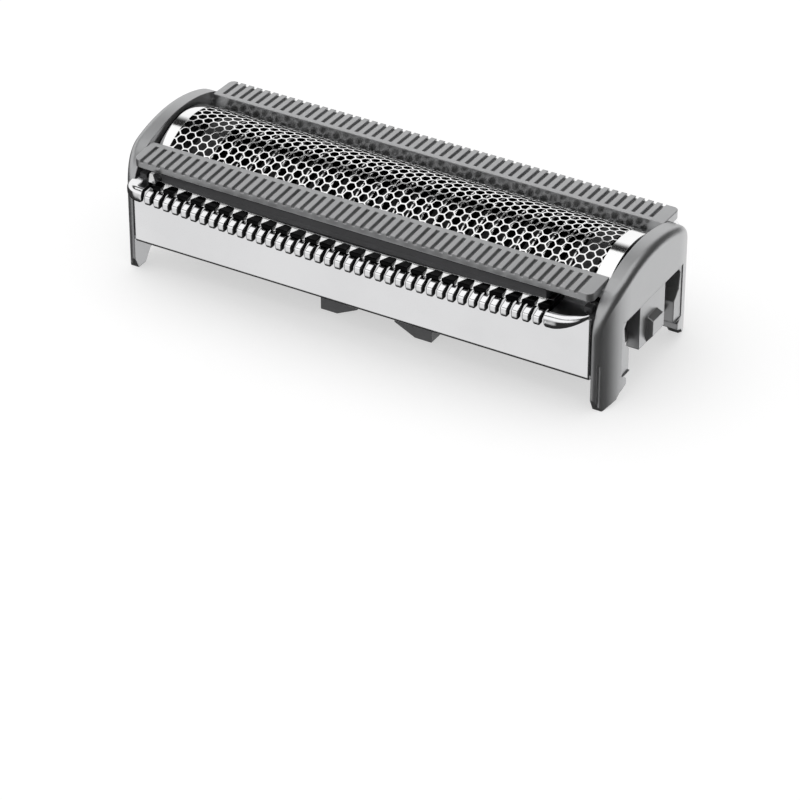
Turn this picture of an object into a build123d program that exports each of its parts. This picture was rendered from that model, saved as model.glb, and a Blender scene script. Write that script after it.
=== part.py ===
from build123d import *
import math
import os

# A slide-on shaver head: a moulded end-cap frame over a sprung foil cutter and two trimmers.
# X runs along the head, the front is towards -Y, and Z = 0 is the plane of the four leg tips.
# All lengths are millimetres, and every "half" value is measured from the centre plane.

# Frame: end caps, legs and the two stretcher bars
inner_half_length = 20.05
cap_thickness = 1.45
frame_half_depth = 7.25
arch_height = 11.05
rim_radius = 13.3
shoulder_radius = 4.16
end_flat_half = 4.0
front_strip = 0.45
rim_fillet = 0.6
panel_half_width = 4.9
panel_depth = 0.13
panel_top = 6.87
bar_inner_half = 4.41
bar_outer_half = 7.14
bar_drop = 0.88
bar_fall = 0.1
bar_thickness = 0.65
bar_end_gap = 0.15
bar_corner = 0.5
flange_thickness = 0.54
flange_drop = 1.15
root_half_depth = 5.6
root_cover = 0.45
root_reach = 0.3
root_overlap = 0.5
groove_pitch = 0.755
groove_width = 0.3
groove_depth = 0.3
left_groove_margin = 0.75
right_groove_margin = 1.3
groove_land = 0.42
lower_end_chamfer = 0.85
lead_in_back = 0.47
lead_in_height = 1.0

# Legs and snap tongues
leg_foot_inner = 5.77
leg_neck_inner = 4.25
leg_step_inner = 3.7
leg_step_bottom = 2.2
leg_step_top = 4.05
slot_half_width = 4.4
slot_bottom = 4.8
tongue_half_width = 2.05
tongue_bottom = 3.0
tongue_thickness = 1.05
boss_half_width = 0.8
boss_height = 2.2
boss_reach = 0.5
boss_ramp = 0.65
channel_width = 0.4
channel_depth = 0.3
channel_top = 4.05
channel_bottom = 0.35
nib_reach = 0.8
nib_height = 0.85

# Chassis
chassis_half_depth = 7.0
chassis_bottom = 3.0
wall_thickness = 1.22
end_wall_thickness = 1.0
key_size = 0.9
key_reach = 0.45
key_y = 6.2
key_heights = (4.2, 6.2)
key_clearance = 0.03

# Combs and trimmer blades
trimmer_room = 0.97
comb_thickness = 0.35
comb_inner_half = 5.8
comb_outer_half = 8.6
comb_bow = 1.0
comb_overhang = 0.1
comb_end_gap = 0.15
comb_cap_gap = 0.1
left_comb_corner = 1.3
right_comb_corner = 2.6
comb_skirt = 1.15
comb_bend = 0.3
tooth_pitch = 0.87
tooth_gap = 0.3
left_guard = 2.49
right_guard = 3.88
comb_slot_gap = 0.05
lug_size = 0.6
lug_stand = 0.2
lug_inset = 0.7
lug_y = 6.4
lug_clearance = 0.02
blade_thickness = 0.35
blade_tip_inset = 0.4
blade_tooth_length = 1.1
blade_end_gap = 0.15
blade_right_gap = 3.25
blade_pitch = 1.5 * tooth_pitch
blade_gap_tip = 0.2
blade_gap_root = 0.55
left_blade_land = 1.1
right_blade_land = 0.85
tab_line = 7.7
tab_width = 0.5
tab_length = 0.55
tab_height = 0.7

# Foil
foil_thickness = 0.12
foil_drop = 0.3
foil_radius = 6.2
foil_half_width = 4.45
foil_bottom_rise = 1.45
foil_end_gap = 0.15
seat_rise = 1.35
former_width = 1.0
hole_across = 2.3
hole_pitch = 3.1
hole_rows = 4
end_strip = 3.25
hole_row_angle = 23.2
foil_rail_inner = 3.75
foil_rail_height = 0.75
clamp_thickness = 0.5
clamp_height = 1.4
hook_length = 1.4
hook_height = 0.4
hook_stand = 0.15
hook_clearance = 0.02
hook_offsets = (8.0, 15.0)

# Polished side plates
plate_thickness = 0.35
plate_end_gap = 0.12
plate_bottom = 2.65
plate_corner = 0.45
plate_seat_gap = 0.05
plate_tab_width = 2.4
plate_tab_reach = 0.9
plate_tab_offset = 12.0
plate_tab_height = 5.2
tab_clearance = 0.05

# Drive
stroke = 1.6
rest_offset = 0.4
bridge_half_length = 4.9
bridge_half_depth = 5.0
bridge_bottom = 0.1
bridge_deck = 3.4
bridge_flare_bottom = 2.2
pin_slot_half = 1.65
pin_slot_top = 2.5
funnel_half = 3.45
funnel_height = 0.87
arm_half_width = 2.6
arm_thickness = 0.52
arm_clearance = 0.13
finger_width = 0.85
finger_gap = 0.2
finger_half_depth = 1.2
finger_clearance = 0.05
spring_post_x = 3.3
spring_post_size = 0.8
spring_post_top = 4.6
left_holder_inset = 0.3
right_holder_inset = 0.8
holder_outer_half = 7.05
holder_height = 0.35
lip_thickness = 0.2
lip_gap = 0.1
driver_line = 6.3
driver_x = 9.0
driver_length = 1.2
driver_width = 0.6
driver_clearance = 0.02
leaf_half_length = 12.0
leaf_thickness = 0.1
leaf_width = 0.9
leaf_gap = 0.05
leaf_foot = 1.5

# Foil cutter
cutter_gap = 0.1
lamella_thickness = 0.3
lamella_count = 14
lamella_half_width = 4.12
lamella_rise = 2.95
carrier_half_width = 3.6
carrier_wall = 1.0
carrier_height = 1.5
carrier_roof_thickness = 0.5
carrier_end_gap = 0.25
end_block_width = 1.7
end_block_gap = 0.15
float_travel = 0.5
spring_radius = 1.05
spring_wire = 0.3
spring_turns = 2

# Sizes worked out from the ones above
cap_outer = inner_half_length + cap_thickness
panel_x = cap_outer - panel_depth
bar_top = arch_height - bar_drop
bar_half_length = inner_half_length - bar_end_gap
bar_bottom = bar_top - bar_fall - bar_thickness
comb_top = bar_bottom - trimmer_room
comb_bottom = comb_top - comb_thickness
comb_half_length = inner_half_length + comb_overhang
comb_slot_root = chassis_half_depth + comb_slot_gap
first_tooth = left_guard - comb_half_length
lug_x = inner_half_length - lug_inset
blade_top = comb_top + blade_thickness
blade_left_end = blade_end_gap + rest_offset + stroke / 2 - (lug_x - lug_size / 2)
blade_right_end = comb_half_length - blade_right_gap
holder_top = blade_top + holder_height
cavity_half_depth = chassis_half_depth - wall_thickness
arm_outer = cavity_half_depth - arm_clearance
arm_inner = arm_outer - arm_thickness
foil_centre = arch_height - foil_drop - foil_radius
foil_half_length = inner_half_length - foil_end_gap
foil_bottom = foil_centre + foil_bottom_rise
foil_inner_radius = foil_radius - foil_thickness
foil_flange_inner = foil_half_width - foil_thickness
end_wall_top = foil_centre + seat_rise
cutter_radius = foil_inner_radius - cutter_gap
lamella_seat = foil_centre + lamella_rise
carrier_bottom = lamella_seat - carrier_height
carrier_roof = lamella_seat - carrier_roof_thickness
carrier_travel = rest_offset + stroke / 2
carrier_half_length = inner_half_length - former_width - carrier_travel - carrier_end_gap
lamella_span = 2 * (carrier_half_length - end_block_width - end_block_gap)
rib_half = rest_offset + 0.75
far = 60.0


def block(x, y, z):
    """A box between pairs of limits."""
    centre = [(low + high) / 2 for low, high in (x, y, z)]
    return Pos(*centre) * Box(x[1] - x[0], y[1] - y[0], z[1] - z[0])


def side_profile(points, x_from, x_to):
    """A prism along X of an outline given as (y, z) points."""
    face = make_face(Plane.YZ * Polyline(*points, close=True))
    return Pos(x_from, 0, 0) * extrude(face, x_to - x_from, dir=(1, 0, 0))


def front_profile(points, y_from, y_to):
    """A prism along Y of an outline given as (x, z) points."""
    face = make_face([Polyline(*[(x, 0, z) for x, z in points], close=True)])
    return Pos(0, y_from, 0) * extrude(face, y_to - y_from, dir=(0, 1, 0))


def both_ends(solid):
    """A solid and its mirror image at the other end of the head."""
    return solid + mirror(solid, Plane.YZ)


def both_sides(solid):
    """A solid and its mirror image at the other side of the head."""
    return solid + mirror(solid, Plane.XZ)


def places(first, last, pitch):
    """Evenly pitched places from the first one to about the last."""
    count = round((last - first) / pitch) + 1
    return [first + number * pitch for number in range(count)]


def arch_face():
    """End view of a cap: straight legs, rounded shoulders and a shallow crown."""
    crown = Pos(0, arch_height - rim_radius) * Circle(rim_radius)
    sides = Pos(0, arch_height / 2) * Rectangle(2 * frame_half_depth, arch_height)
    outline = crown & sides
    shoulders = outline.vertices().group_by(Axis.Y)[-1]
    return Plane.YZ * fillet(shoulders, shoulder_radius)


def cap_plan():
    """Plan of a cap: a flat middle and ends that sweep back to the front strips."""
    strip_x = inner_half_length + front_strip
    right = TangentArc((cap_outer, end_flat_half), (strip_x, frame_half_depth), tangent=(0, 1))
    left = mirror(right, Plane.XZ)
    middle = Line((cap_outer, -end_flat_half), (cap_outer, end_flat_half))
    back = Polyline(
        (strip_x, frame_half_depth),
        (inner_half_length, frame_half_depth),
        (inner_half_length, -frame_half_depth),
        (strip_x, -frame_half_depth),
    )
    return make_face([right, left, middle, back])


def leg_opening():
    """The opening between two legs of one cap, with the slots beside the tongue."""
    half = [
        (leg_foot_inner, -1.0),
        (leg_foot_inner, 0.0),
        (leg_neck_inner + lower_end_chamfer, 0.9),
        (leg_neck_inner, 1.3),
        (leg_neck_inner, 1.8),
        (leg_neck_inner + 0.4, leg_step_bottom - 0.1),
        (leg_step_inner, leg_step_bottom),
        (leg_step_inner, leg_step_top),
        (slot_half_width, slot_bottom),
        (slot_half_width + 0.2, panel_top - 0.6),
        (slot_half_width - 0.3, panel_top),
    ]
    other = [(-y, z) for y, z in reversed(half)]
    return side_profile(half + other, inner_half_length - 1, cap_outer + 1)


def snap_tongue():
    """A springy tongue with a ramped catch near its free end."""
    tongue = block(
        (panel_x - tongue_thickness, panel_x),
        (-tongue_half_width, tongue_half_width),
        (tongue_bottom, panel_top + 0.5),
    )
    boss_top = tongue_bottom + boss_height
    ramp = [
        (panel_x, tongue_bottom),
        (panel_x, boss_top),
        (panel_x + boss_reach, boss_top - 0.25),
        (panel_x + boss_reach, tongue_bottom + boss_ramp),
    ]
    return tongue + front_profile(ramp, -boss_half_width, boss_half_width)


def leg_cuts():
    """Lead-in chamfers and corner channels that every leg has."""
    cuts = []
    front = [
        (frame_half_depth - lead_in_back, -1.0),
        (frame_half_depth - lead_in_back, 0.0),
        (frame_half_depth, lead_in_height),
        (frame_half_depth + 1, lead_in_height),
        (frame_half_depth + 1, -1.0),
    ]
    cuts.append(side_profile(front, inner_half_length - 1, cap_outer + 1))
    skin = cap_outer - lower_end_chamfer + 0.2
    outer = [(skin, 0.0), (skin + 2, 2.0), (skin + 2, -1.0), (skin, -1.0)]
    cuts.append(front_profile(outer, 0, frame_half_depth + 1))
    channel_x = inner_half_length + front_strip
    cuts.append(
        block(
            (channel_x, channel_x + channel_width),
            (frame_half_depth - channel_depth, frame_half_depth + 1),
            (channel_bottom, channel_top),
        )
    )
    return cuts


def end_cap():
    """One end cap with its two legs and its snap tongue, at the +X end."""
    body = extrude(arch_face(), far, dir=(1, 0, 0)) & extrude(cap_plan(), far)
    outer = [e for e in body.edges() if is_rim(e)]
    body = fillet(outer, rim_fillet)
    panel = block(
        (panel_x, far), (-panel_half_width, panel_half_width), (leg_step_bottom, panel_top)
    )
    body = body - panel - leg_opening()
    for cut in leg_cuts():
        body = body - both_sides(cut)
    catch = [
        (leg_step_inner + 0.1, leg_step_top - 0.2),
        (leg_step_inner - nib_reach, leg_step_top - nib_height),
        (leg_step_inner + 0.1, leg_step_top - nib_height - 0.25),
    ]
    nib = side_profile(catch, inner_half_length, panel_x - nib_reach)
    return body + both_sides(nib) + snap_tongue() - keys(key_clearance)


def is_rim(edge):
    """True for the edges where a cap's outer face meets its rim."""
    middle = edge.position_at(0.5)
    outer = middle.X > inner_half_length + front_strip - 0.01
    return outer and middle.Z > 0.01 and edge.length > 0.5


def bar():
    """The rear stretcher bar: a ribbed top, an inner flange and roots into the caps."""
    profile = [
        (bar_inner_half, bar_top),
        (bar_inner_half, bar_top - flange_drop),
        (bar_inner_half + flange_thickness, bar_top - flange_drop),
        (bar_inner_half + flange_thickness, bar_bottom),
        (bar_outer_half, bar_bottom),
        (bar_outer_half, bar_top - bar_fall),
    ]
    body = side_profile(profile, -bar_half_length, bar_half_length)
    corners = [e for e in body.edges().filter_by(Axis.Z) if e.position_at(0.5).Y > bar_outer_half - 0.1]
    body = fillet(corners, bar_corner)
    root = block(
        (bar_half_length - root_overlap, inner_half_length + root_reach),
        (bar_inner_half, root_half_depth),
        (bar_top - flange_drop, bar_top - root_cover),
    )
    body = body + both_ends(root)
    first = left_groove_margin - bar_half_length
    for x in places(first, bar_half_length - right_groove_margin, groove_pitch):
        body = body - block(
            (x - groove_width / 2, x + groove_width / 2),
            (bar_inner_half + groove_land, far),
            (bar_top - groove_depth, far),
        )
    return body


def frame():
    return both_ends(end_cap()) + both_sides(bar())


def keys(clearance=0.0):
    """The keys on the chassis's +X end, or with a clearance the pockets for them."""
    size = key_size + 2 * clearance
    depth = 2 * (key_reach + clearance)
    return [
        Pos(inner_half_length, y, z) * Box(depth, size, size)
        for z in key_heights
        for y in (-key_y, key_y)
    ]


def comb_lugs(clearance=0.0):
    """The staked lugs that hold the combs, or with a clearance the holes for them."""
    size = lug_size + 2 * clearance
    top = comb_top + lug_stand
    return [
        block((x - size / 2, x + size / 2), (y - size / 2, y + size / 2), (comb_bottom, top))
        for x in (lug_x, -lug_x)
        for y in (-lug_y, lug_y)
    ]


def chassis():
    """An open box of side and end walls that carries the foil, the combs and the plates."""
    body = block(
        (-inner_half_length, inner_half_length),
        (-chassis_half_depth, chassis_half_depth),
        (chassis_bottom, comb_bottom),
    )
    cavity = inner_half_length - end_wall_thickness
    body = body - block((-cavity, cavity), (-cavity_half_depth, cavity_half_depth), (0, far))
    seat = foil_half_width + clamp_thickness
    body = body - block((-far, far), (-seat, seat), (end_wall_top, far))
    for x in (-plate_tab_offset, plate_tab_offset):
        half = plate_tab_width / 2 + tab_clearance
        slot = block(
            (x - half, x + half),
            (-far, far),
            (
                plate_tab_height - tab_clearance,
                plate_tab_height + plate_thickness + tab_clearance,
            ),
        )
        body = body - slot
    return body + both_ends(Compound(children=keys() + comb_lugs()[:2]))


def foil_ring(outer, inner, half_width):
    """An arched band about the foil's axis, between two radii."""
    ring = Circle(outer) - Circle(inner)
    cap = Pos(0, outer) * Rectangle(2 * half_width, 2 * outer)
    return Plane.YZ * (Pos(0, foil_centre) * (ring & cap))


def foil_frame():
    """Arched end formers joined by two rails, with hooks for the foil's flanges."""
    height = foil_centre + foil_inner_radius - end_wall_top
    blank = Pos(0, end_wall_top + height / 2) * Rectangle(2 * foil_flange_inner, height)
    arch = Plane.YZ * (blank & (Pos(0, foil_centre) * Circle(foil_inner_radius)))
    former = Pos(inner_half_length - former_width, 0, 0) * extrude(arch, former_width, dir=(1, 0, 0))
    rail = block(
        (-inner_half_length, inner_half_length),
        (foil_rail_inner, foil_flange_inner),
        (end_wall_top, end_wall_top + foil_rail_height),
    )
    body = both_ends(former) + both_sides(rail)
    return body + foil_hooks()


def foil_hooks(clearance=0.0):
    """The hooks that pass the foil and its clamps, or with a clearance their windows."""
    reach = foil_half_width + clamp_thickness + hook_stand
    middle = end_wall_top + foil_rail_height / 2
    length = hook_length + 2 * clearance
    height = hook_height + 2 * clearance
    hooks = []
    for x in hook_offsets:
        for place in (x, -x):
            hooks.append(
                block(
                    (place - length / 2, place + length / 2),
                    (foil_flange_inner, reach),
                    (middle - height / 2, middle + height / 2),
                )
            )
    return hooks + [mirror(hook, Plane.XZ) for hook in hooks]


def foil_holes():
    """Hexagonal cutters in staggered rows over the foil's arch."""
    holes = []
    last = foil_half_length - end_strip - hole_across / 2
    for row in range(hole_rows):
        angle = (row - (hole_rows - 1) / 2) * hole_row_angle
        shift = hole_pitch / 2 if row % 2 else 0.0
        for x in places(shift - last, last - shift, hole_pitch):
            prism = extrude(RegularPolygon(hole_across / 2, 6, major_radius=False), 2.0)
            holes.append(
                Pos(x, 0, foil_centre) * Rot(-angle, 0, 0) * Pos(0, 0, foil_radius - 1.0) * prism
            )
    return holes


def foil():
    """The perforated shaving foil: a thin arch with two straight flanges."""
    arch = extrude(
        foil_ring(foil_radius, foil_inner_radius, foil_half_width),
        2 * foil_half_length,
        dir=(1, 0, 0),
    )
    flange_top = foil_centre + math.sqrt(foil_inner_radius**2 - foil_flange_inner**2)
    flange = block(
        (0, 2 * foil_half_length), (foil_flange_inner, foil_half_width), (foil_bottom, flange_top)
    )
    body = Pos(-foil_half_length, 0, 0) * (arch + both_sides(flange))
    return body - foil_holes() - foil_hooks(hook_clearance)


def foil_clamp():
    """The strip that holds the foil's rear flange on its hooks."""
    strip = block(
        (-inner_half_length, inner_half_length),
        (foil_half_width, foil_half_width + clamp_thickness),
        (end_wall_top, end_wall_top + clamp_height),
    )
    return strip - foil_hooks(hook_clearance)


def bow_at(x):
    """How far the front edges of the comb and the blade bow out at x."""
    radius = (comb_half_length**2 + comb_bow**2) / (2 * comb_bow)
    return math.sqrt(radius**2 - x**2) - (radius - comb_bow)


def bowed_sheet(back, edge):
    """A flat sheet as long as the comb whose front edge bows out from the given line."""
    front = ThreePointArc(
        (-comb_half_length, -edge), (0, -edge - comb_bow), (comb_half_length, -edge)
    )
    sides = Polyline(
        (comb_half_length, -edge),
        (comb_half_length, -back),
        (-comb_half_length, -back),
        (-comb_half_length, -edge),
    )
    return make_face([front, sides])


def comb():
    """The front comb: a bowed steel plate bent down at its edge and slotted into fingers."""
    plan = bowed_sheet(comb_inner_half, comb_outer_half)
    plan = fillet(plan.vertices().group_by(Axis.X)[0].sort_by(Axis.Y)[0], left_comb_corner)
    plan = fillet(plan.vertices().group_by(Axis.X)[-1].sort_by(Axis.Y)[0], right_comb_corner)
    body = Pos(0, 0, comb_top - comb_skirt) * extrude(plan, comb_skirt)
    rim = body.edges().group_by(Axis.Z)[-1]
    rim = [e for e in rim if e.position_at(0.5).Y < -comb_inner_half - 0.1]
    body = chamfer(rim, comb_bend)
    inside = offset(plan, -comb_thickness)
    body = body - Pos(0, 0, comb_top - comb_skirt) * extrude(inside, comb_skirt - comb_thickness)
    clear = frame_half_depth + comb_cap_gap
    body = body - block((-far, far), (-clear, 0), (0, comb_bottom))
    behind = block((inner_half_length - comb_end_gap, far), (-clear, 0), (0, far))
    body = body - both_ends(behind)
    first = first_tooth - tooth_pitch / 2
    last = comb_half_length - right_guard + tooth_pitch / 2
    for x in places(first, last, tooth_pitch):
        body = body - block(
            (x - tooth_gap / 2, x + tooth_gap / 2), (-far, -comb_slot_root), (0, far)
        )
    return body - comb_lugs(lug_clearance)


def blade():
    """The front moving blade, with bowed teeth that widen outwards and a folded tab at the left."""
    tip_line = comb_outer_half - blade_tip_inset
    body = Pos(0, 0, comb_top) * extrude(bowed_sheet(arm_outer, tip_line), blade_thickness)
    body = body & block((blade_left_end, blade_right_end), (-far, far), (0, far))
    first = blade_left_end + left_blade_land
    for x in places(first, blade_right_end - right_blade_land, blade_pitch):
        tip = -tip_line - bow_at(x)
        gap = make_face(
            Polyline(
                (x - blade_gap_root / 2, tip + blade_tooth_length),
                (x - blade_gap_tip / 2, tip - 0.1),
                (x + blade_gap_tip / 2, tip - 0.1),
                (x + blade_gap_root / 2, tip + blade_tooth_length),
                close=True,
            )
        )
        body = body - Pos(0, 0, comb_top) * extrude(gap, blade_thickness)
    tab_left = blade_left_end - tab_width
    strap = block(
        (tab_left, blade_left_end),
        (-tab_line, -tab_line + tab_length),
        (comb_top, blade_top),
    )
    fold = block(
        (tab_left, tab_left + tab_width),
        (-tab_line, -tab_line + blade_thickness),
        (blade_top, blade_top + tab_height),
    )
    body = body + strap + fold
    return body - drivers(driver_clearance)


def drivers(clearance=0.0):
    """The holder's lugs that drive the blade, or with a clearance their windows."""
    length = driver_length + 2 * clearance
    width = driver_width + 2 * clearance
    return [
        block(
            (rest_offset + x - length / 2, rest_offset + x + length / 2),
            (-driver_line - width / 2, -driver_line + width / 2),
            (comb_top, blade_top),
        )
        for x in (-driver_x, driver_x)
    ]


def blade_holder():
    """The front blade's plastic holder: a bar with a front lip and two lugs that drive the blade."""
    ends = (blade_left_end + left_holder_inset, blade_right_end - right_holder_inset)
    body = block(ends, (-holder_outer_half, -arm_outer), (blade_top, holder_top))
    lip_inner = lip_thickness - holder_outer_half
    body = body + block(ends, (-holder_outer_half, lip_inner), (blade_top, bar_bottom - lip_gap))
    return body + drivers()


def leaf_spring():
    """The front leaf spring: a shallow bow between its two feet under the bar."""
    low = holder_top + leaf_gap
    sag = bar_bottom - leaf_thickness - low
    bow = ThreePointArc(
        (-leaf_half_length, 0, low + sag), (0, 0, low), (leaf_half_length, 0, low + sag)
    )
    top = ThreePointArc(
        (leaf_half_length, 0, bar_bottom),
        (0, 0, low + leaf_thickness),
        (-leaf_half_length, 0, bar_bottom),
    )
    left = Line((-leaf_half_length, 0, bar_bottom), (-leaf_half_length, 0, low + sag))
    right = Line((leaf_half_length, 0, low + sag), (leaf_half_length, 0, bar_bottom))
    bowed = extrude(make_face([bow, right, top, left]), leaf_width, dir=(0, 1, 0))
    foot = block(
        (leaf_half_length, leaf_half_length + leaf_foot), (0, leaf_width), (low + sag, bar_bottom)
    )
    return Pos(0, -driver_line - leaf_width / 2, 0) * (bowed + both_ends(foot))


def side_plate():
    """The front polished plate, with two tabs bent in through the chassis wall."""
    top = comb_bottom - plate_seat_gap
    height = top - plate_bottom
    length = 2 * (inner_half_length - plate_end_gap)
    outline = Pos(0, plate_bottom + height / 2) * Rectangle(length, height)
    outline = fillet(outline.vertices().group_by(Axis.Y)[0], plate_corner)
    sheet = extrude(Plane.XZ * outline, plate_thickness)
    body = Pos(0, -chassis_half_depth, 0) * sheet
    for x in (-plate_tab_offset, plate_tab_offset):
        body = body + block(
            (x - plate_tab_width / 2, x + plate_tab_width / 2),
            (-chassis_half_depth, -chassis_half_depth + plate_tab_reach),
            (plate_tab_height, plate_tab_height + plate_thickness),
        )
    return body


def drive_bridge():
    """The dark coupling: a yoke for the drive pin, arms to the blades and cutter fingers."""
    body = block(
        (-bridge_half_length, bridge_half_length),
        (-bridge_half_depth, bridge_half_depth),
        (bridge_bottom, bridge_deck),
    )
    mouth = [
        (-funnel_half, bridge_bottom - 1),
        (-funnel_half, bridge_bottom),
        (-pin_slot_half, bridge_bottom + funnel_height),
        (-pin_slot_half, pin_slot_top),
        (pin_slot_half, pin_slot_top),
        (pin_slot_half, bridge_bottom + funnel_height),
        (funnel_half, bridge_bottom),
        (funnel_half, bridge_bottom - 1),
    ]
    body = body - front_profile(mouth, -far, far)
    flare = block(
        (-arm_half_width, arm_half_width), (-arm_outer, arm_outer), (bridge_flare_bottom, bridge_deck)
    )
    arm = block(
        (-arm_half_width, arm_half_width), (arm_inner, arm_outer), (bridge_flare_bottom, holder_top)
    )
    finger_inner = rib_half + finger_clearance - rest_offset
    finger = block(
        (finger_inner, finger_inner + finger_width),
        (-finger_half_depth, finger_half_depth),
        (bridge_deck, carrier_roof - float_travel - finger_gap),
    )
    post = block(
        (spring_post_x - spring_post_size / 2, spring_post_x + spring_post_size / 2),
        (-spring_post_size / 2, spring_post_size / 2),
        (bridge_deck, spring_post_top),
    )
    body = body + flare + both_sides(arm) + both_ends(finger) + both_ends(post)
    return Pos(rest_offset, 0, 0) * body


def segment_face(radius, half_width):
    """A flat-bottomed arch about the foil's axis, standing on the lamella seat."""
    height = foil_centre + radius - lamella_seat
    blank = Pos(0, lamella_seat + height / 2) * Rectangle(2 * half_width, height)
    return Plane.YZ * (blank & (Pos(0, foil_centre) * Circle(radius)))


def cutter_carrier():
    """The moulded channel that the lamellae stand on, with an arched block at each end."""
    inner_end = carrier_half_length - end_block_width
    outer_end = carrier_half_length
    channel = carrier_half_width - carrier_wall
    body = block(
        (-outer_end, outer_end),
        (-carrier_half_width, carrier_half_width),
        (carrier_bottom, lamella_seat),
    )
    body = body - block(
        (-inner_end, inner_end), (-channel, channel), (carrier_bottom, carrier_roof)
    )
    face = segment_face(cutter_radius - end_block_gap, carrier_half_width)
    end_block = Pos(inner_end, 0, 0) * extrude(face, end_block_width, dir=(1, 0, 0))
    half_rib = rib_half - rest_offset
    rib = block((-half_rib, half_rib), (-channel, channel), (carrier_bottom, carrier_roof))
    return Pos(rest_offset, 0, 0) * (body + both_ends(end_block) + rib)


def cutter_lamellae():
    """The steel cutting lamellae, side by side on the carrier."""
    face = segment_face(cutter_radius, lamella_half_width)
    lamellae = []
    pitch = (lamella_span - lamella_thickness) / (lamella_count - 1)
    for number in range(lamella_count):
        x = rest_offset - lamella_span / 2 + number * pitch
        lamellae.append(Pos(x, 0, 0) * extrude(face, lamella_thickness, dir=(1, 0, 0)))
    return Compound(children=lamellae)


def cutter_spring(x):
    """A coil spring between the bridge's deck and the carrier's roof."""
    free = carrier_roof - bridge_deck - spring_wire
    pitch = free / spring_turns
    path = Helix(pitch, free, spring_radius - spring_wire / 2)
    start = path @ 0
    section = Plane(origin=start, z_dir=path % 0) * Rectangle(spring_wire, spring_wire)
    coil = sweep(section, path, is_frenet=True)
    return Pos(x, 0, bridge_deck + spring_wire / 2) * coil


def nodes():
    """Every piece of the head by name."""
    left = rest_offset - spring_post_x
    right = rest_offset + spring_post_x
    front = {
        "comb": comb(),
        "blade": blade(),
        "blade_holder": blade_holder(),
        "blade_spring": leaf_spring(),
        "plate": side_plate(),
    }
    pieces = {
        "frame": frame(),
        "chassis": chassis(),
        "foil_frame": foil_frame(),
        "foil": foil(),
        "rear_foil_clamp": foil_clamp(),
        "front_foil_clamp": mirror(foil_clamp(), Plane.XZ),
        "drive_bridge": drive_bridge(),
        "cutter_carrier": cutter_carrier(),
        "cutter_lamellae": cutter_lamellae(),
        "left_cutter_spring": cutter_spring(left),
        "right_cutter_spring": cutter_spring(right),
    }
    for name, piece in front.items():
        pieces["front_" + name] = piece
        pieces["rear_" + name] = mirror(piece, Plane.XZ)
    return pieces


def main():
    os.makedirs("parts", exist_ok=True)
    for name, piece in nodes().items():
        piece.label = name
        export_step(piece, "parts/" + name + ".step")


main()
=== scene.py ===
import math
import bpy
import bmesh
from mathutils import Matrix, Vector


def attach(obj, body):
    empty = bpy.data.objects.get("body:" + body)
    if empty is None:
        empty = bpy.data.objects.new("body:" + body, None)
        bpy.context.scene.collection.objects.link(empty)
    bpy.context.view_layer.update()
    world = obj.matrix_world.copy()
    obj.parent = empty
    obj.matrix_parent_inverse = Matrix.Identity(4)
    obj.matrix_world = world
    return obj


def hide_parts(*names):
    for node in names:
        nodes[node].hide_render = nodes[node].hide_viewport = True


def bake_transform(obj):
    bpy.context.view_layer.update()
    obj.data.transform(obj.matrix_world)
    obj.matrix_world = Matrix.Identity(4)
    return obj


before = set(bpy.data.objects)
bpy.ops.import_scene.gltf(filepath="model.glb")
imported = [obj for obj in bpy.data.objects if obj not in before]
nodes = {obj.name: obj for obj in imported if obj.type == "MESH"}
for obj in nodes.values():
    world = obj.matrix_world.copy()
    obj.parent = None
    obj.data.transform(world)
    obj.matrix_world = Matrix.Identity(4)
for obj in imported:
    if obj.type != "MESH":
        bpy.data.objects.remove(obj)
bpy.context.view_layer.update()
scene = bpy.context.scene
MM = 0.001


# Camera at the photograph's angle
def add_camera():
    data = bpy.data.cameras.new("camera")
    data.lens = 179.45
    data.sensor_width = 36
    data.clip_start = 0.01
    data.clip_end = 20
    camera = bpy.data.objects.new("camera", data)
    camera.location = (0.130548, -0.227463, 0.164066)
    camera.rotation_euler = (math.radians(90 - 33.534), math.radians(-0.044), math.radians(29.945))
    scene.collection.objects.link(camera)
    scene.camera = camera


# Node helpers
def link(tree, source, target):
    tree.links.new(source, target)


def add_node(tree, kind, **settings):
    node = tree.nodes.new(kind)
    for key, value in settings.items():
        setattr(node, key, value)
    return node


def math_node(tree, operation, first, second):
    node = add_node(tree, "ShaderNodeMath", operation=operation)
    for socket, value in zip(node.inputs, (first, second)):
        if isinstance(value, (int, float)):
            socket.default_value = value
        else:
            link(tree, value, socket)
    return node.outputs[0]


def ranged(tree, value, source, target, kind="LINEAR"):
    node = add_node(tree, "ShaderNodeMapRange", interpolation_type=kind)
    link(tree, value, node.inputs["Value"])
    node.inputs["From Min"].default_value = source[0]
    node.inputs["From Max"].default_value = source[1]
    node.inputs["To Min"].default_value = target[0]
    node.inputs["To Max"].default_value = target[1]
    return node.outputs["Result"]


def noise(tree, scale, detail=3.0, stretch=(1, 1, 1)):
    """Noise in the object's own millimetres, stretched along the axes."""
    where = add_node(tree, "ShaderNodeTexCoord")
    mapping = add_node(tree, "ShaderNodeMapping")
    mapping.inputs["Scale"].default_value = [1000 * s for s in stretch]
    link(tree, where.outputs["Object"], mapping.inputs["Vector"])
    texture = add_node(tree, "ShaderNodeTexNoise")
    texture.inputs["Scale"].default_value = scale
    texture.inputs["Detail"].default_value = detail
    link(tree, mapping.outputs["Vector"], texture.inputs["Vector"])
    return texture.outputs["Fac"]


def coloured(tree, value, low, high):
    """A colour that runs from low to high over the middle of a noise."""
    ramp = add_node(tree, "ShaderNodeValToRGB")
    ramp.color_ramp.elements[0].position = 0.35
    ramp.color_ramp.elements[1].position = 0.65
    ramp.color_ramp.elements[0].color = (*low, 1)
    ramp.color_ramp.elements[1].color = (*high, 1)
    link(tree, value, ramp.inputs["Fac"])
    return ramp.outputs["Color"]


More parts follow.
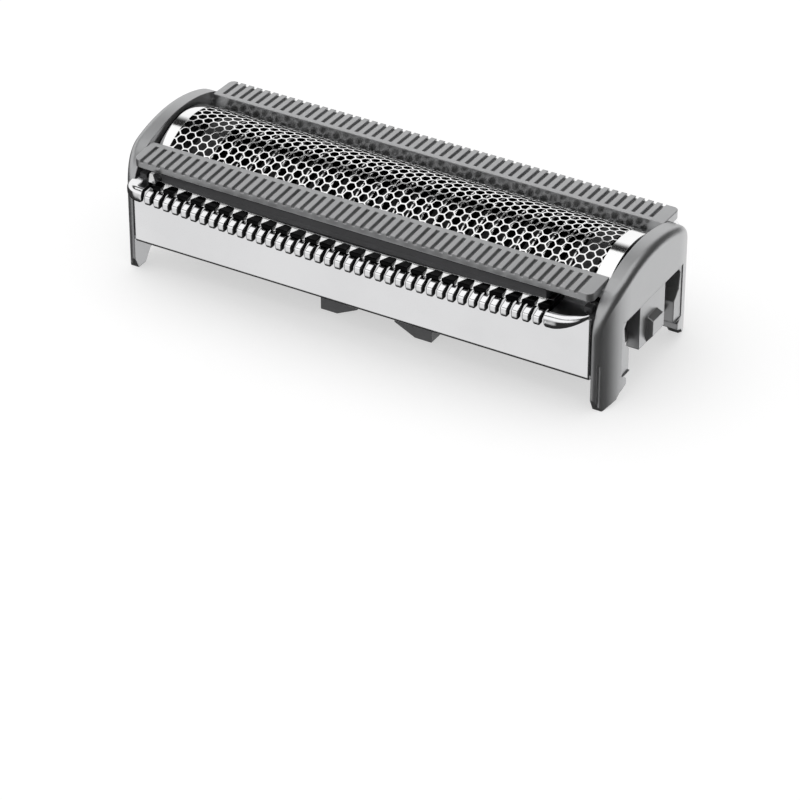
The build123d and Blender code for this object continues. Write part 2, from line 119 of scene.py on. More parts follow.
def surface(name, colours, metallic, rough, grain, wear=None, patch=0.25, bevel=0.05):
    """A finish whose colour and gloss vary in soft patches, with a fine grain in relief.

    The grain is its scale, its height and its stretch. Edges are rounded by the bevel, and where
    wear gives a colour they are rubbed to it.
    """
    material = bpy.data.materials.new(name)
    material.use_nodes = True
    tree = material.node_tree
    shader = tree.nodes["Principled BSDF"]
    shader.inputs["Metallic"].default_value = metallic
    patches = noise(tree, patch)
    colour = coloured(tree, patches, colours[0], colours[1])
    scale, height, stretch = grain
    fine = noise(tree, scale, 5.0, stretch)
    mixed = math_node(tree, "ADD", patches, fine)
    link(tree, ranged(tree, mixed, (0.6, 1.4), rough), shader.inputs["Roughness"])
    rounded = add_node(tree, "ShaderNodeBevel", samples=4)
    rounded.inputs["Radius"].default_value = bevel * MM
    bump = add_node(tree, "ShaderNodeBump")
    bump.inputs["Strength"].default_value = height
    bump.inputs["Distance"].default_value = 0.02 * MM
    link(tree, fine, bump.inputs["Height"])
    link(tree, rounded.outputs["Normal"], bump.inputs["Normal"])
    link(tree, bump.outputs["Normal"], shader.inputs["Normal"])
    if wear:
        flat = add_node(tree, "ShaderNodeNewGeometry")
        dot = add_node(tree, "ShaderNodeVectorMath", operation="DOT_PRODUCT")
        link(tree, rounded.outputs["Normal"], dot.inputs[0])
        link(tree, flat.outputs["Normal"], dot.inputs[1])
        edge = ranged(tree, dot.outputs["Value"], (0.98, 0.8), (0, 1))
        mix = add_node(tree, "ShaderNodeMix", data_type="RGBA")
        rubbed = math_node(tree, "MULTIPLY", edge, ranged(tree, fine, (0.4, 0.6), (0.2, 1)))
        link(tree, rubbed, mix.inputs["Factor"])
        link(tree, colour, mix.inputs["A"])
        mix.inputs["B"].default_value = (*wear, 1)
        colour = mix.outputs["Result"]
    link(tree, colour, shader.inputs["Base Color"])
    return material


def dress(node, material):
    """Gives a CAD node its finish."""
    for slot in nodes[node].material_slots:
        slot.material = material


def add_mesh(name, points, faces, body, materials, replaced=(), smooth=35, tags=None):
    """A piece from points in millimetres, riding on its body; tags say which finish a face has."""
    mesh = bpy.data.meshes.new(name)
    mesh.from_pydata([Vector(p) * MM for p in points], [], faces)
    for material in materials:
        mesh.materials.append(material)
    if tags:
        mesh.polygons.foreach_set("material_index", tags)
    shape = bmesh.new()
    shape.from_mesh(mesh)
    bmesh.ops.remove_doubles(shape, verts=shape.verts, dist=0.0015 * MM)
    bmesh.ops.dissolve_degenerate(shape, edges=shape.edges, dist=0.0005 * MM)
    bmesh.ops.recalc_face_normals(shape, faces=shape.faces)
    shape.to_mesh(mesh)
    shape.free()
    mesh.polygons.foreach_set("use_smooth", [True] * len(mesh.polygons))
    mesh.set_sharp_from_angle(angle=math.radians(smooth))
    piece = bpy.data.objects.new(name, mesh)
    scene.collection.objects.link(piece)
    if smooth < 35:
        normals = piece.modifiers.new("normals", "WEIGHTED_NORMAL")
        normals.keep_sharp = True
    if replaced:
        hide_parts(*replaced)
    if body:
        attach(piece, body)
    return piece


def ring_faces(rows, count, base=0):
    """Quads between successive rows of points, each row a loop of count points."""
    faces = []
    for row in range(rows - 1):
        for k in range(count):
            a = base + row * count + k
            b = base + row * count + (k + 1) % count
            faces.append((a, b, b + count, a + count))
    return faces


# Foil: an arch pierced by a slanted lattice of hexagons, where s runs along the arch
foil_radius = 6.2
foil_centre = 4.55
foil_half_width = 4.45
foil_edge = foil_radius * math.asin(foil_half_width / foil_radius)
foil_foot = 6.0
foil_ends = (-19.9, 19.9)
# Widths of the near-black painted shade bands at the foil's two ends
left_painted_shade_band = 0.1
right_painted_shade_band = 0.3
seam = 0.005
pierced_x = (-18.91, 18.4)
pierced_s = 4.75
lattice_a = (0.583, 0.500)
lattice_b = (0.708, -0.307)
lattice_start = (-18.30, -2.91)
lattice_reach = 60
lattice_margin = 0.4
foil_depth = 0.07
side_shares = (0.0, 0.16, 0.5, 0.84)
corner_pull = 0.8
side_pull = 0.85
arch_steps = 60
flank_steps = 12


def foil_top():
    """The height at which the arch meets its flanges."""
    return foil_centre + math.sqrt(foil_radius ** 2 - foil_half_width ** 2)


def on_foil(x, s, depth):
    """The point of the foil at s, or below it by a depth."""
    if abs(s) <= foil_edge:
        turn = s / foil_radius
        radius = foil_radius - depth
        return (x, radius * math.sin(turn), foil_centre + radius * math.cos(turn))
    return (x, math.copysign(foil_half_width - depth, s), foil_top() - (abs(s) - foil_edge))


def circumcentre(p, q):
    """The point as far from (0, 0) as from p and q."""
    d = 2 * (p[0] * q[1] - p[1] * q[0])
    pp = p[0] ** 2 + p[1] ** 2
    qq = q[0] ** 2 + q[1] ** 2
    return ((q[1] * pp - p[1] * qq) / d, (p[0] * qq - q[0] * pp) / d)


def cell_loops():
    """The cell's outline and the rounded hole in it, as two matching loops about (0, 0)."""
    third = (lattice_a[0] - lattice_b[0], lattice_a[1] - lattice_b[1])
    around = [lattice_a, lattice_b, third]
    around += [(-x, -y) for x, y in around]
    around.sort(key=lambda p: math.atan2(p[1], p[0]))
    corners = [circumcentre(around[k], around[(k + 1) % 6]) for k in range(6)]
    outline = []
    hole = []
    for k in range(6):
        here = corners[k]
        after = corners[(k + 1) % 6]
        for share in side_shares:
            point = [here[i] + share * (after[i] - here[i]) for i in (0, 1)]
            outline.append(point)
            pull = corner_pull if share == 0 else side_pull
            hole.append([pull * c for c in point])
    return outline, hole


def build_foil(finishes):
    """Cells that run from their outline to the hole and back underneath, and the sheet around them."""
    outline, hole = cell_loops()
    count = len(outline)
    rows = (
        (0.0, 0.0),
        (0.7, 0.0),
        (0.92, 0.002),
        (1.0, 0.025),
        (1.0, foil_depth),
        (0.0, foil_depth),
    )
    points = []
    faces = []
    tags = []
    cells = range(-lattice_reach, lattice_reach + 1)
    left_limit = pierced_x[0] - lattice_margin
    right_limit = pierced_x[1] + lattice_margin
    for i in cells:
        for j in cells:
            cx = lattice_start[0] + i * lattice_a[0] + j * lattice_b[0]
            cs = lattice_start[1] + i * lattice_a[1] + j * lattice_b[1]
            if not left_limit < cx < right_limit or abs(cs) > pierced_s + lattice_margin:
                continue
            base = len(points)
            for share, depth in rows:
                for k in range(count):
                    u = [outline[k][n] + share * (hole[k][n] - outline[k][n]) for n in (0, 1)]
                    x = min(max(cx + u[0], pierced_x[0]), pierced_x[1])
                    s = min(max(cs + u[1], -pierced_s), pierced_s)
                    points.append(on_foil(x, s, depth))
            faces += ring_faces(len(rows), count, base)
            # Hole walls and undersides take the near-black finish as painted shade
            tags += [1 if row > 2 else 0 for row in range(len(rows) - 1) for k in range(count)]
    reach = foil_edge + foil_top() - foil_foot
    left_end, right_end = foil_ends
    left_hole, right_hole = pierced_x
    # The outermost patch at each end is painted near-black shade; the rest is plain foil steel
    patches = [
        (left_end, left_end + left_painted_shade_band - seam, -reach, reach, arch_steps, 1),
        (left_end + left_painted_shade_band, left_hole - seam, -reach, reach, arch_steps, 0),
        (right_hole + seam, right_end - right_painted_shade_band, -reach, reach, arch_steps, 0),
        (right_end - right_painted_shade_band + seam, right_end, -reach, reach, arch_steps, 1),
        (left_hole, right_hole, -reach, -pierced_s - seam, flank_steps, 0),
        (left_hole, right_hole, pierced_s + seam, reach, flank_steps, 0),
    ]
    for left, right, low, high, steps, finish in patches:
        base = len(points)
        for step in range(steps + 1):
            s = low + (high - low) * step / steps
            for x, depth in ((left, 0), (right, 0), (right, foil_depth), (left, foil_depth)):
                points.append(on_foil(x, s, depth))
        faces += ring_faces(steps + 1, 4, base)
        faces.append((base, base + 1, base + 2, base + 3))
        last = base + 4 * steps
        faces.append((last, last + 1, last + 2, last + 3))
        tags += [finish] * (4 * steps + 2)
    add_mesh("pierced_foil", points, faces, "head", finishes, ["foil"], 35, tags)


# Cutter: thin arched lamellae with a window under each arch
cutter_centre_x = 0.4
cutter_radius = 5.98
lamella_pitch = 1.16
lamella_count = 28
lamella_half_width = 4.12
lamella_foot = 7.5
window_half_width = 3.4
window_radius = 4.95
window_share = 0.86
lamella_steps = 24
lamella_half = 0.1
rim_half = 0.05


def build_lamellae(finishes):
    outer = []
    inner = []
    turn = math.asin(lamella_half_width / cutter_radius)
    outer.append((-lamella_half_width, lamella_foot))
    inner.append((-window_half_width, lamella_foot))
    for step in range(lamella_steps + 1):
        angle = turn * (2 * step / lamella_steps - 1)
        outer.append((cutter_radius * math.sin(angle), foil_centre + cutter_radius * math.cos(angle)))
        narrow = window_share * angle
        inner.append((window_radius * math.sin(narrow), foil_centre + window_radius * math.cos(narrow)))
    outer.append((lamella_half_width, lamella_foot))
    inner.append((window_half_width, lamella_foot))
    points = []
    faces = []
    for n in range(lamella_count):
        x = cutter_centre_x + (n - (lamella_count - 1) / 2) * lamella_pitch
        base = len(points)
        for (oy, oz), (iy, iz) in zip(outer, inner):
            near = rim_half / math.hypot(oy - iy, oz - iz)
            ground_to = (oy + (iy - oy) * near, oz + (iz - oz) * near)
            section = (
                (-rim_half, (oy, oz)),
                (rim_half, (oy, oz)),
                (lamella_half, ground_to),
                (lamella_half, (iy, iz)),
                (-lamella_half, (iy, iz)),
                (-lamella_half, ground_to),
            )
            for dx, (y, z) in section:
                points.append((x + dx, y, z))
        faces += ring_faces(len(outer), 6, base)
        faces.append(tuple(base + k for k in range(6)))
        last = base + 6 * (len(outer) - 1)
        faces.append(tuple(last + k for k in range(6)))
    sides = 6 * (len(outer) - 1)
    # The ground rim and its chamfers are bright steel; the sides, the window face and the ends carry
    # near-black painted shade
    tags = ([1 if k % 6 in (0, 1, 5) else 0 for k in range(sides)] + [0, 0]) * lamella_count
    add_mesh("arched_lamellae", points, faces, "cutter", finishes, ["cutter_lamellae"], 35, tags)


# Combs: a bowed steel plate slotted into fingers that bend down, between two guards
comb_top = 8.45
comb_under = 8.10
comb_back = 5.8
comb_edge = 8.6
comb_bow = 1.0
comb_half = 20.15
comb_foot = 7.30
slot_root = 7.05
first_finger = -17.66
finger_pitch = 0.87
finger_count = 40
finger_half = 0.285
sheet = 0.48
ramp = 0.95
ramp_drop = 0.26
bend = 0.25
tip_round = 0.26
finger_overlap = 0.05
ramp_setback = 0.05
bend_setback = 0.08
bend_thinning = 0.05
cut_bevel = 0.07
guard_bend = 0.45
guard_start = 0.25
guard_skirt = 0.35
guard_edge = 0.22
guard_land = 0.6
guard_steps = 14
cap_line = 7.37
rail_overlap = 0.01
left_guard_radius, left_guard_rise = 1.3, 0.35
right_guard_radius, right_guard_rise = 2.6, 0.85


def bow_at(x):
    """How far the front edges of the combs and the blades bow out at x."""
    radius = (comb_half ** 2 + comb_bow ** 2) / (2 * comb_bow)
    return math.sqrt(radius ** 2 - x ** 2) - (radius - comb_bow)


def comb_finger(x, points, faces, tags):
    """One finger: flat, then a ramp and a bend down to a rounded tip; its cut sides, underside and ends
    carry near-black painted shade.
    """
    front = comb_edge + bow_at(x)
    root = slot_root - finger_overlap
    stations = [
        ((root, comb_top), (root, comb_under), 1.0),
        ((front - ramp, comb_top), (front - ramp - ramp_setback, comb_under), 1.0),
    ]
    low = comb_top - ramp_drop
    start = math.degrees(math.atan2(ramp_drop, ramp - bend))
    for step in range(6):
        a = math.radians(start + (90 - start) * step / 5)
        outer = (front - bend + bend * math.sin(a), low - bend + bend * math.cos(a))
        inner_y = front - sheet - bend_setback * math.cos(a)
        inner_z = low - sheet + bend_thinning * math.cos(a)
        stations.append((outer, (inner_y, inner_z), 1.0))
    for degrees in (0, 25, 45, 60, 75, 86):
        a = math.radians(degrees)
        z = comb_foot + tip_round * (1 - math.sin(a))
        y = front - tip_round * (1 - math.cos(a))
        stations.append(((y, z), (front - sheet, z), math.cos(a) ** 0.6))
    base = len(points)
    for (oy, oz), (iy, iz), share in stations:
        half = finger_half * share
        cut = cut_bevel * share
        near = cut / math.hypot(oy - iy, oz - iz)
        sy = oy + (iy - oy) * near
        sz = oz + (iz - oz) * near
        section = (
            (-half, iy, iz),
            (-half, sy, sz),
            (cut - half, oy, oz),
            (half - cut, oy, oz),
            (half, sy, sz),
            (half, iy, iz),
        )
        for dx, y, z in section:
            points.append((x + dx, y, z))
    faces += ring_faces(len(stations), 6, base)
    tags += [1, 0, 0, 0, 1, 1] * (len(stations) - 1)
    last = base + 6 * (len(stations) - 1)
    faces += [tuple(base + k for k in range(6)), tuple(last + k for k in range(6))]
    tags += [1, 1]


def guard_path(side, radius, rise, slot_x):
    """Places along a guard's foot with the outward direction and the foot's height."""
    path = []
    for degrees in (0, 30, 60, 90):
        a = math.radians(degrees)
        x = slot_x + side * guard_start * (1 - math.cos(a))
        foot = comb_foot + guard_start * (1 - math.sin(a))
        path.append((x, comb_edge + bow_at(x), 0.0, 1.0, foot))
    across = comb_half - radius
    down = comb_edge + bow_at(across) - radius
    stop = math.asin((cap_line - down) / radius) if down < cap_line else 0.0
    for step in range(guard_steps + 1):
        share = step / guard_steps
        a = math.pi / 2 + (stop - math.pi / 2) * share
        nx, ny = side * math.cos(a), math.sin(a)
        foot = comb_foot + rise * share ** 1.2
        path.append((side * across + radius * nx, down + radius * ny, nx, ny, foot))
    if down > cap_line:
        path.append((side * comb_half, cap_line, side * 1.0, 0.0, comb_foot + rise))
    return path


def comb_guard(side, radius, rise, slot_x, points, faces, tags):
    """The unslotted end of a comb: its skirt follows the rounded corner and ends by the cap."""
    path = guard_path(side, radius, rise, slot_x)
    base = len(points)
    for px, py, nx, ny, foot in path:
        edge = min(guard_edge, 0.4 * (comb_top - foot))
        profile = [
            (guard_skirt, foot),
            (edge, foot),
            (0.3 * edge, foot + 0.3 * edge),
            (0.0, foot + edge),
        ]
        size = min(guard_bend, comb_top - foot - edge)
        for degrees in (0, 22, 45, 68, 90):
            a = math.radians(degrees)
            profile.append((size - size * math.cos(a), comb_top - size + size * math.sin(a)))
        profile += [(guard_land, comb_top), (guard_land, comb_under)]
        for inward, z in profile:
            points.append((px - nx * inward, py - ny * inward, z))
    count = len(profile)
    # Points 9 and 10 are the flat top's inner edge, above and below, with no faces between them
    # The inner back face takes the near-black painted shade finish
    for n, face in enumerate(ring_faces(len(path), count, base)):
        if n % count != 9:
            faces.append(face)
            tags.append(1 if n % count == 10 else 0)
    far_x = side * (comb_half - guard_land)
    extra = len(points)
    for z in (comb_top, comb_under):
        points.append((far_x, comb_back, z))
        points.append((slot_x, comb_back, z))
    top = [base + row * count + 9 for row in range(len(path))]
    under = [base + row * count + 10 for row in range(len(path))]
    faces.append(tuple(top + [extra, extra + 1]))
    faces.append(tuple(under + [extra + 2, extra + 3]))
    faces.append(tuple([base + k for k in range(10)] + [extra + 1, extra + 3, base + 10]))
    last = base + (len(path) - 1) * count
    faces.append(tuple(last + k for k in range(11)))
    faces.append((last + 9, extra, extra + 2, last + 10))
    faces.append((extra, extra + 1, extra + 3, extra + 2))
    # The underside and the slot-side end face take the near-black painted shade finish
    tags += [0, 1, 1, 0, 0, 0]


def build_comb(name, side, finishes):
    """The fingers, the two guards and the rail behind the slots."""
    points = []
    faces = []
    tags = []
    for n in range(finger_count):
        comb_finger(first_finger + n * finger_pitch, points, faces, tags)
    left_slot = first_finger - finger_pitch + finger_half
    right_slot = first_finger + finger_count * finger_pitch - finger_half
    comb_guard(-1, left_guard_radius, left_guard_rise, left_slot, points, faces, tags)
    comb_guard(1, right_guard_radius, right_guard_rise, right_slot, points, faces, tags)
    base = len(points)
    for x in (left_slot - rail_overlap, right_slot + rail_overlap):
        points += [(x, comb_back, comb_under), (x, slot_root, comb_under)]
        points += [(x, slot_root, comb_top), (x, comb_back, comb_top)]
    faces += ring_faces(2, 4, base)
    # The rail's underside and slot-side wall take the near-black painted shade finish
    tags += [1, 1, 0, 0]
    points = [(x, side * y, z) for x, y, z in points]
    add_mesh(name + "_fingers", points, faces, "head", finishes, [name], 32, tags)


# Blades: bowed teeth that widen outwards, with ground edges, and a folded tab at the left end
blade_ends = (-17.7, 16.9)
blade_low = 8.45
blade_high = 8.80
blade_back = 5.65
blade_inset = 0.75
tooth_length = 0.75
tab_line = 7.7
first_gap = -16.6
gap_pitch = 1.305
gap_count = 26
gap_root_left = -0.28
gap_root_right = 0.3
gap_tip_left = -0.26
gap_tip_right = 0.03
ramp_length = 0.68
ramp_bottom = 8.455
ramp_heights = (8.74, 8.5)
ground = 0.05
strip_inset = 0.06
strip_setback = 0.01
strip_margin = 0.07
strip_sunk = -0.02
strip_proud = 0.002
strip_steps = 24
tab_thickness = 0.35
tab_section = ((-0.5, 8.7), (0.15, 8.7), (-0.08, 9.5), (-0.4, 9.5))
strap_reach = (-0.5, 0.1)


def prism(outline, low, high, points, faces, tags, bright):
    """A plate of an outline given anticlockwise, its edges ground off and some of them bright."""
    count = len(outline)
    inset = []
    for k in range(count):
        x, y = outline[k]
        ax, ay = outline[k - 1]
        bx, by = outline[(k + 1) % count]
        ux, uy = x - ax, y - ay
        vx, vy = bx - x, by - y
        ul = math.hypot(ux, uy)
        vl = math.hypot(vx, vy)
        mx = -uy / ul - vy / vl
        my = ux / ul + vx / vl
        size = 1 + (ux * vx + uy * vy) / (ul * vl)
        inset.append((x + ground * mx / size, y + ground * my / size))
    base = len(points)
    for loop, z in ((inset, low), (outline, low + ground), (outline, high - ground), (inset, high)):
        points.extend((x, y, z) for x, y in loop)
    faces += ring_faces(4, count, base)
    tags += bright + [0] * count + bright
    faces.append(tuple(base + k for k in range(count)))
    faces.append(tuple(base + 3 * count + k for k in range(count)))
    tags += [0, 0]


def build_blade(name, side, finishes):
    """The toothed plate, a polished strip on it, a sloped floor in each gap, and the tab."""
    points = []
    faces = []
    tags = []

    def tip(x):
        return comb_edge - blade_inset + bow_at(x)

    left, right = blade_ends
    outline = [(left, blade_back), (right, blade_back), (right, tip(right))]
    for n in reversed(range(gap_count)):
        x = first_gap + n * gap_pitch
        root = tip(x) - tooth_length
        outline += [(x, tip(x)), (x + gap_root_right, root)]
        outline += [(x + gap_root_left, root), (x + gap_tip_left, tip(x))]
    outline.append((left, tip(left)))
    # Most of the plate takes the near-black finish as painted shade and dark reflection; the chamfers
    # at the gap roots are bright ground steel
    bright = [0, 0, 0] + [0, 1, 0, 0] * gap_count + [0]
    prism(outline, blade_low, blade_high, points, faces, tags, bright)
    base = len(points)
    back = blade_back + strip_setback
    for n in range(strip_steps + 1):
        x = left + strip_inset + (right - left - 2 * strip_inset) * n / strip_steps
        front = tip(x) - tooth_length - strip_margin
        points += [(x, back, blade_high + strip_sunk), (x, front, blade_high + strip_sunk)]
        points += [(x, front, blade_high + strip_proud), (x, back, blade_high + strip_proud)]
    faces += ring_faces(strip_steps + 1, 4, base)
    last = base + 4 * strip_steps
    faces += [tuple(base + k for k in range(4)), tuple(last + k for k in range(4))]
    tags += [2] * (4 * strip_steps + 2)
    for n in range(gap_count):
        x = first_gap + n * gap_pitch
        root = tip(x) - tooth_length
        base = len(points)
        ends = (
            (root, x + gap_root_left, x + gap_root_right, ramp_heights[0]),
            (root + ramp_length, x + gap_tip_left, x + gap_tip_right, ramp_heights[1]),
        )
        for y, low_x, high_x, z in ends:
            points += [(low_x, y, ramp_bottom), (high_x, y, ramp_bottom)]
            points += [(high_x, y, z), (low_x, y, z)]
        faces += ring_faces(2, 4, base)
        faces += [(base, base + 1, base + 2, base + 3), (base + 4, base + 5, base + 6, base + 7)]
        tags += [1] * 6
    tab_back = tab_line - tab_thickness
    outer, inner = [left + reach for reach in strap_reach]
    strap = [(outer, tab_back), (inner, tab_back), (inner, tab_line), (outer, tab_line)]
    prism(strap, blade_low, blade_high, points, faces, tags, [1] * 4)
    base = len(points)
    for y in (tab_back, tab_line):
        points += [(left + x, y, z) for x, z in tab_section]
    faces += ring_faces(2, 4, base)
    faces += [(base, base + 1, base + 2, base + 3), (base + 4, base + 5, base + 6, base + 7)]
    tags += [1] * 6
    points = [(x, side * y, z) for x, y, z in points]
    add_mesh(name + "_teeth", points, faces, "oscillator", finishes, [name], 25, tags)


# Side plates: polished sheets with a rolled lower edge and two tabs bent in
plate_end = -19.93
plate_face = 7.35
plate_back = 6.98
plate_top = 8.05
plate_low = 2.65
plate_round = 0.1
plate_roll = 0.36
plate_tabs = (-12.0, 12.0)
plate_tab_half = 1.2
plate_tab_section = ((6.1, 5.2), (7.05, 5.2), (7.05, 5.55), (6.1, 5.55))


def build_plate(name, side, finishes):
    rows = []
    for degrees in (0, 30, 60, 90):
        a = math.radians(degrees)
        x = plate_end + plate_round * (1 - math.cos(a))
        rows.append((x, plate_round * (1 - math.sin(a))))
    rows += [(-x, inset) for x, inset in reversed(rows)]
    points = []
    for x, inset in rows:
        outer = plate_face - inset
        low = plate_low + inset
        points += [(x, plate_back, plate_top), (x, outer, plate_top)]
        for degrees in (0, 18, 36, 54, 72, 90):
            a = math.radians(degrees)
            y = outer - plate_roll + plate_roll * math.cos(a)
            points.append((x, y, low + plate_roll - plate_roll * math.sin(a)))
        points.append((x, plate_back, low))
    count = len(points) // len(rows)
    faces = ring_faces(len(rows), count)
    last = count * (len(rows) - 1)
    faces += [tuple(range(count)), tuple(last + k for k in range(count))]
    for middle in plate_tabs:
        base = len(points)
        for x in (middle - plate_tab_half, middle + plate_tab_half):
            points += [(x, y, z) for y, z in plate_tab_section]
        faces += ring_faces(2, 4, base)
        faces += [tuple(base + k for k in range(4)), tuple(base + 4 + k for k in range(4))]
    points = [(x, side * y, z) for x, y, z in points]
    add_mesh(name + "_sheet", points, faces, "head", finishes, [name], 30)


# Springs under the cutter: close coils
def build_spring(name, x, material):
    low, high, radius, wire = 3.4, 7.0, 1.05, 0.15
    turns = 6
    steps = 26 * turns
    end_ease = 0.06
    up = Vector((0, 0, 1))
    points = []
    for step in range(steps + 1):
        share = step / steps
        angle = 2 * math.pi * turns * share
        eased = share - math.sin(2 * math.pi * share) * end_ease
        z = low + wire + eased * (high - low - 2 * wire)
        centre = Vector((x + radius * math.cos(angle), radius * math.sin(angle), z))
        out = Vector((math.cos(angle), math.sin(angle), 0))
        for k in range(8):
            round_turn = math.pi * k / 4
            away = math.cos(round_turn) * out + math.sin(round_turn) * up
            points.append(tuple(centre + wire * away))
    faces = ring_faces(steps + 1, 8)
    faces.append(tuple(range(8)))
    faces.append(tuple(8 * steps + k for k in range(8)))
    piece = add_mesh(name + "_coil", points, faces, None, [material], [name])
    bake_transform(piece)


# Floor, light and surroundings
room_light = 0.72
camera_light = 0.28
dimmest_mirrored = 0.03


def unlit_sides(tree, x, y, height):
    """How far a direction points to the unlit right side, or low down to the left one."""
    turn = ranged(tree, height, (-0.35, 0.2), (-0.7, 0.4), "SMOOTHSTEP")
    angle = math_node(tree, "ARCTAN2", y, x)
    away = math_node(tree, "ABSOLUTE", math_node(tree, "SUBTRACT", angle, turn), 0.0)
    right = ranged(tree, away, (1.0, 1.35), (1, 0), "SMOOTHSTEP")
    left = ranged(tree, math_node(tree, "ABSOLUTE", angle, 0.0), (2.2, 2.5), (0, 0.95), "SMOOTHSTEP")
    low = ranged(tree, height, (-0.1, 0.1), (1, 0), "SMOOTHSTEP")
    return math_node(tree, "MAXIMUM", right, math_node(tree, "MULTIPLY", left, low))


def add_world():
    """Even light for matt surfaces and a banded room in mirrors; a height is the Z of a direction."""
    world = bpy.data.worlds.new("studio")
    scene.world = world
    world.use_nodes = True
    world.cycles.sampling_method = "NONE"
    tree = world.node_tree
    shader = tree.nodes["Background"]
    where = add_node(tree, "ShaderNodeTexCoord")
    axes = add_node(tree, "ShaderNodeSeparateXYZ")
    link(tree, where.outputs["Generated"], axes.inputs[0])
    height = axes.outputs["Z"]
    overhead = ranged(tree, height, (0.805, 0.82), (0, 1.1), "SMOOTHSTEP")
    sweep = ranged(tree, height, (0.60, 0.74), (1, 0), "SMOOTHSTEP")
    below = ranged(tree, height, (-0.72, -0.60), (0, 1), "SMOOTHSTEP")
    unlit = unlit_sides(tree, axes.outputs["X"], axes.outputs["Y"], height)
    ground = ranged(tree, height, (-0.1, 0.05), (0.8, 1.05), "SMOOTHSTEP")
    rearward = math_node(tree, "ADD", axes.outputs["Y"], axes.outputs["X"])
    back = ranged(tree, rearward, (0.4, 0.9), (0, 0.45), "SMOOTHSTEP")
    low = ranged(tree, height, (-0.3, -0.1), (1, 0), "SMOOTHSTEP")
    ground = math_node(tree, "ADD", ground, math_node(tree, "MULTIPLY", back, low))
    for part in (below, ground, math_node(tree, "SUBTRACT", 1.0, unlit)):
        sweep = math_node(tree, "MULTIPLY", sweep, part)
    mirrored = math_node(tree, "MAXIMUM", overhead, sweep)
    mirrored = math_node(tree, "MAXIMUM", mirrored, dimmest_mirrored)
    path = add_node(tree, "ShaderNodeLightPath")
    plain = math_node(tree, "MULTIPLY", path.outputs["Is Camera Ray"], camera_light)
    plain = math_node(tree, "ADD", plain, room_light)
    mix = add_node(tree, "ShaderNodeMix", data_type="FLOAT")
    link(tree, path.outputs["Is Glossy Ray"], mix.inputs["Factor"])
    link(tree, plain, mix.inputs["A"])
    link(tree, mirrored, mix.inputs["B"])
    shader.inputs["Color"].default_value = (1, 1, 1, 1)
    link(tree, mix.outputs["Result"], shader.inputs["Strength"])


def add_floor():
    """A pale floor that glows a little for the camera alone and isn't mirrored."""
    mesh = bpy.data.meshes.new("floor")
    shape = bmesh.new()
    bmesh.ops.create_grid(shape, x_segments=8, y_segments=8, size=3)
    shape.to_mesh(mesh)
    shape.free()
    floor = bpy.data.objects.new("floor", mesh)
    scene.collection.objects.link(floor)
    material = bpy.data.materials.new("pale_floor")
    material.use_nodes = True
    tree = material.node_tree
    shader = tree.nodes["Principled BSDF"]
    shader.inputs["Roughness"].default_value = 0.9
    shader.inputs["Specular IOR Level"].default_value = 0.0
    pale = coloured(tree, noise(tree, 0.02), (0.5, 0.5, 0.5), (0.52, 0.52, 0.52))
    link(tree, pale, shader.inputs["Base Color"])
    path = add_node(tree, "ShaderNodeLightPath")
    glow = add_node(tree, "ShaderNodeEmission")
    glow.inputs["Strength"].default_value = 0.55
    both = add_node(tree, "ShaderNodeAddShader")
    link(tree, shader.outputs[0], both.inputs[0])
    link(tree, glow.outputs[0], both.inputs[1])
    seen = add_node(tree, "ShaderNodeMixShader")
    link(tree, path.outputs["Is Camera Ray"], seen.inputs[0])
    link(tree, shader.outputs[0], seen.inputs[1])
    link(tree, both.outputs[0], seen.inputs[2])
    link(tree, seen.outputs[0], tree.nodes["Material Output"].inputs["Surface"])
    floor.visible_glossy = False
    mesh.materials.append(material)


def add_lamp():
    data = bpy.data.lights.new("softbox", "AREA")
    data.shape = "RECTANGLE"
    data.size = 0.7
    data.size_y = 0.5
    data.energy = 0.9
    lamp = bpy.data.objects.new("softbox", data)
    lamp.location = (-0.12, 0.02, 0.5)
    lamp.rotation_euler = (Vector((0, 0, 0)) - lamp.location).to_track_quat("-Z", "Y").to_euler()
    lamp.visible_glossy = False
    lamp.visible_camera = False
    scene.collection.objects.link(lamp)


add_camera()
add_world()
add_floor()
add_lamp()
scene.view_settings.view_transform = "Standard"

# Finishes
silver = surface(
    "silver_plastic",
    [(0.40, 0.403, 0.408), (0.43, 0.433, 0.438)],
    metallic=0.88,
    rough=(0.3, 0.37),
    grain=(9, 0.04, (1, 1, 1)),
    wear=(0.6, 0.6, 0.61),
    patch=0.3,
    bevel=0.12,
)
# Near-black steel: painted shade on the comb fingers' cut sides, undersides and ends, the guards' backs
# and the rail
comb_painted_shade = surface(
    "comb_painted_shade",
    [(0.02, 0.02, 0.021), (0.035, 0.035, 0.036)],
    metallic=0.6,
    rough=(0.3, 0.45),
    grain=(8, 0.2, (3, 3, 0.5)),
    patch=0.3,
    bevel=0.02,
)
# Near-black mirror steel: painted shade in the foil's holes and end bands and on the cutter's sides,
# and painted shade and dark reflection on the blades
black_painted_shade = surface(
    "black_painted_shade",
    [(0.004, 0.004, 0.0042), (0.008, 0.008, 0.0083)],
    metallic=1.0,
    rough=(0.12, 0.2),
    grain=(6, 0.1, (4, 0.4, 4)),
    patch=0.3,
    bevel=0.02,
)
black = surface(
    "black_plastic",
    [(0.035, 0.035, 0.037), (0.05, 0.05, 0.053)],
    metallic=0.0,
    rough=(0.4, 0.55),
    grain=(7, 0.3, (1, 1, 1)),
)
dark = surface(
    "dark_plastic",
    [(0.008, 0.008, 0.0085), (0.014, 0.014, 0.015)],
    metallic=0.0,
    rough=(0.45, 0.6),
    grain=(7, 0.3, (1, 1, 1)),
)
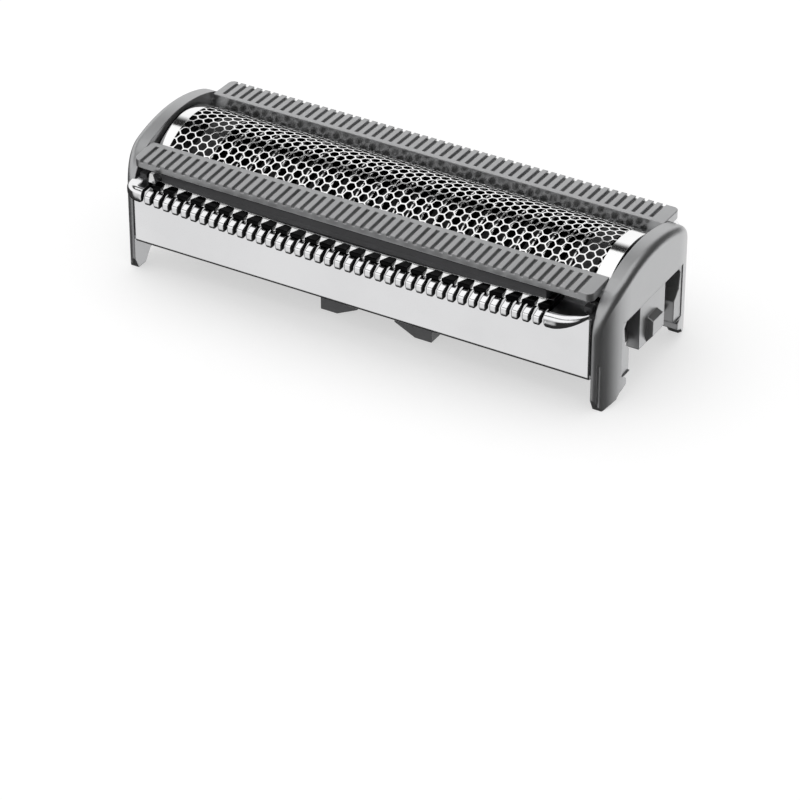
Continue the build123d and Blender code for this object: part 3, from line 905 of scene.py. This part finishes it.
grey = surface(
    "grey_plastic",
    [(0.14, 0.14, 0.145), (0.17, 0.17, 0.175)],
    metallic=0.0,
    rough=(0.35, 0.5),
    grain=(7, 0.3, (1, 1, 1)),
)
foil_steel = surface(
    "foil_steel",
    [(0.88, 0.88, 0.88), (0.93, 0.93, 0.93)],
    metallic=1.0,
    rough=(0.05, 0.1),
    grain=(5, 0.03, (1, 4, 4)),
    patch=0.3,
    bevel=0.01,
)
comb_steel = surface(
    "comb_steel",
    [(0.82, 0.82, 0.83), (0.88, 0.88, 0.89)],
    metallic=1.0,
    rough=(0.06, 0.12),
    grain=(6, 0.08, (0.3, 3, 3)),
    patch=0.3,
    bevel=0.05,
)
ground_steel = surface(
    "ground_steel",
    [(0.8, 0.8, 0.8), (0.88, 0.88, 0.88)],
    metallic=1.0,
    rough=(0.14, 0.24),
    grain=(6, 0.12, (4, 0.4, 4)),
    patch=0.3,
    bevel=0.04,
)
spring_steel = surface(
    "spring_steel",
    [(0.5, 0.5, 0.51), (0.6, 0.6, 0.61)],
    metallic=1.0,
    rough=(0.25, 0.35),
    grain=(8, 0.1, (1, 1, 1)),
    patch=0.3,
    bevel=0.02,
)
chrome = surface(
    "polished_plate",
    [(0.86, 0.86, 0.87), (0.9, 0.9, 0.91)],
    metallic=1.0,
    rough=(0.05, 0.1),
    grain=(1.2, 0.03, (0.4, 2, 2)),
    patch=0.2,
    bevel=0.08,
)

dress("frame", silver)
dress("chassis", black)
dress("foil_frame", dark)
dress("front_foil_clamp", dark)
dress("rear_foil_clamp", dark)
dress("drive_bridge", grey)
dress("cutter_carrier", dark)
for side in ("front", "rear"):
    facing = -1 if side == "front" else 1
    build_comb(side + "_comb", facing, [comb_steel, comb_painted_shade])
    build_blade(side + "_blade", facing, [black_painted_shade, ground_steel, comb_steel])
    dress(side + "_blade_holder", black)
    dress(side + "_blade_spring", spring_steel)
    build_plate(side + "_plate", facing, [chrome])
build_foil([foil_steel, black_painted_shade])
build_lamellae([black_painted_shade, ground_steel])
build_spring("left_cutter_spring", -2.9, spring_steel)
build_spring("right_cutter_spring", 3.7, spring_steel)
